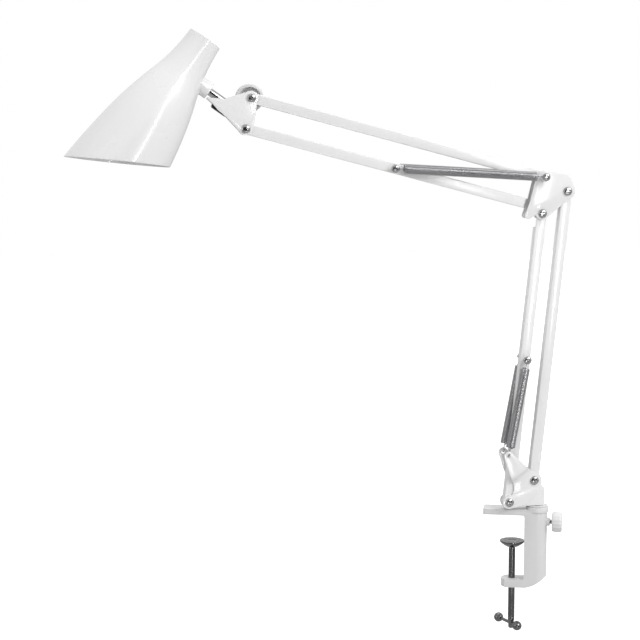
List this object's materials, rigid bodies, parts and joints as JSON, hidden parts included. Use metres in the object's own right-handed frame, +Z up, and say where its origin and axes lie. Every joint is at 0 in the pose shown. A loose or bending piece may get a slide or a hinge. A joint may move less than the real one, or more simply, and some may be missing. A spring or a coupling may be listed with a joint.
{
  "type": "swing-arm desk lamp",
  "caption": "White spring-balanced swing-arm desk lamp on a screw clamp, with parallelogram arms, a slant-cut bell shade, a lampholder and a bulb.",
  "frame": {"origin": "on the underside of the clamp's upper jaw, on the clamp screw's axis", "axes": "+Z up along the clamp screw and the swivel post; the arms swing in the XZ plane with the head towards -X; every arm pivot turns about +Y"},
  "size_m": [0.5919, 0.106, 0.7152],
  "materials": {
    "white_enamel": "gloss white stove enamel",
    "cast_white": "semi-gloss white powder coat on a casting",
    "bright_steel": "polished nickel plate",
    "spring_steel": "bright drawn wire",
    "white_plastic": "satin moulded plastic",
    "black_plastic": "satin moulded plastic",
    "holder_plastic": "glossy heat-resistant moulding",
    "opal_glass": "opal glass"
  },
  "bodies": {
    "clamp": {"clamp_body": "cast_white"},
    "lock_screw": {"post_lock_screw": "bright_steel", "post_lock_knob": "white_plastic"},
    "pad": {"pressure_pad": "bright_steel"},
    "spindle": {"clamp_spindle": "bright_steel"},
    "tommy_bar": {"tommy_rod": "bright_steel", "tommy_ball_front": "bright_steel", "tommy_ball_rear": "bright_steel"},
    "base": {"swivel_post": "bright_steel", "post_washer": "white_plastic", "base_plate_near": "white_enamel", "base_plate_far": "white_enamel", "base_rear_screw": "bright_steel", "base_rear_nut": "bright_steel", "base_front_screw": "bright_steel", "base_front_nut": "bright_steel"},
    "lower_rear": {"lower_rear_bar": "white_enamel"},
    "lower_front": {"lower_front_bar": "white_enamel", "lower_spring_screw": "bright_steel", "lower_spring_nut": "bright_steel", "lower_spring_near": "spring_steel", "lower_spring_far": "spring_steel"},
    "elbow": {"elbow_plate_near": "white_enamel", "elbow_plate_far": "white_enamel", "elbow_rear_screw": "bright_steel", "elbow_rear_nut": "bright_steel", "elbow_front_screw": "bright_steel", "elbow_front_nut": "bright_steel", "elbow_spring_screw": "bright_steel", "elbow_spring_nut": "bright_steel", "elbow_bottom_pin": "white_enamel"},
    "upper_top": {"upper_top_bar": "white_enamel"},
    "upper_bottom": {"upper_bottom_bar": "white_enamel", "upper_spring_screw": "bright_steel", "upper_spring_nut": "bright_steel", "upper_spring_near": "spring_steel", "upper_spring_far": "spring_steel"},
    "head": {"head_plate_near": "white_enamel", "head_plate_far": "white_enamel", "head_upper_bolt": "bright_steel", "head_lower_screw": "bright_steel", "head_lower_nut": "bright_steel"},
    "knob": {"head_knob": "white_plastic"},
    "stem_clamp": {"stem_block": "black_plastic", "stem_pivot_pin": "white_enamel"},
    "shade": {"shade_stem": "bright_steel", "stem_nut": "bright_steel", "shade_boss": "white_enamel", "shade_shell": "white_enamel", "shade_cap": "white_enamel", "lampholder": "holder_plastic", "centre_contact": "bright_steel", "bulb_cap": "bright_steel", "bulb_glass": "opal_glass"}
  },
  "joints": [
    {"name": "base_swivel", "type": "hinge", "parent": "clamp", "child": "base", "pos_m": [0.02802, -0.00857, 0], "axis": [0, 0, 1], "continuous": true},
    {"name": "lower_arm", "type": "hinge", "parent": "base", "child": "lower_rear", "pos_m": [0.02202, -0.00857, 0.043], "axis": [0, 1, 0], "range_deg": [-60, 18]},
    {"name": "lower_front_link", "type": "hinge", "parent": "base", "child": "lower_front", "pos_m": [-0.00798, -0.00857, 0.017], "axis": [0, 1, 0], "range_deg": [-60, 18], "deforming": ["lower_spring_near", "lower_spring_far"]},
    {"name": "elbow_level", "type": "hinge", "parent": "lower_rear", "child": "elbow", "pos_m": [0.05699, -0.00857, 0.38723], "axis": [0, 1, 0], "range_deg": [-18, 60]},
    {"name": "upper_arm", "type": "hinge", "parent": "elbow", "child": "upper_top", "pos_m": [0.02899, -0.00857, 0.40423], "axis": [0, 1, 0], "range_deg": [-45, 40]},
    {"name": "upper_bottom_link", "type": "hinge", "parent": "elbow", "child": "upper_bottom", "pos_m": [0.02238, -0.00857, 0.36923], "axis": [0, 1, 0], "range_deg": [-45, 40], "deforming": ["upper_spring_near", "upper_spring_far"]},
    {"name": "head_level", "type": "hinge", "parent": "upper_top", "child": "head", "pos_m": [-0.31456, -0.00857, 0.49564], "axis": [0, 1, 0], "range_deg": [-40, 45]},
    {"name": "head_knob_turn", "type": "hinge", "parent": "head", "child": "knob", "pos_m": [-0.31456, -0.00857, 0.49564], "axis": [0, 1, 0], "continuous": true},
    {"name": "shade_tilt", "type": "hinge", "parent": "head", "child": "stem_clamp", "pos_m": [-0.33526, -0.00857, 0.48424], "axis": [0, 1, 0], "range_deg": [-65, 50]},
    {"name": "shade_roll", "type": "hinge", "parent": "stem_clamp", "child": "shade", "pos_m": [-0.3926, -0.00857, 0.52439], "axis": [0.8192, 0, -0.5736], "range_deg": [-80, 80]},
    {"name": "lock_turn", "type": "hinge", "parent": "clamp", "child": "lock_screw", "pos_m": [0.02802, -0.00857, -0.0088], "axis": [0.9563, -0.2924, 0], "continuous": true},
    {"name": "pad_travel", "type": "slide", "parent": "clamp", "child": "pad", "axis": [0, 0, 1], "range_m": [-0.036, 0.031]},
    {"name": "screw_turn", "type": "hinge", "parent": "pad", "child": "spindle", "pos_m": [0, 0, 0], "axis": [0, 0, 1], "range_deg": [-10224, 8784]},
    {"name": "tommy_bar_slide", "type": "slide", "parent": "spindle", "child": "tommy_bar", "axis": [-0.319, 0.9478, 0], "range_m": [-0.018, 0.003]}
  ],
  "couplings": [
    {"joint": "lower_front_link", "follows": "lower_arm", "ratio": 1},
    {"joint": "elbow_level", "follows": "lower_arm", "ratio": -1},
    {"joint": "upper_bottom_link", "follows": "upper_arm", "ratio": 1},
    {"joint": "head_level", "follows": "upper_arm", "ratio": -1},
    {"joint": "pad_travel", "follows": "screw_turn", "m_per_rad": 0.00019894}
  ]
}
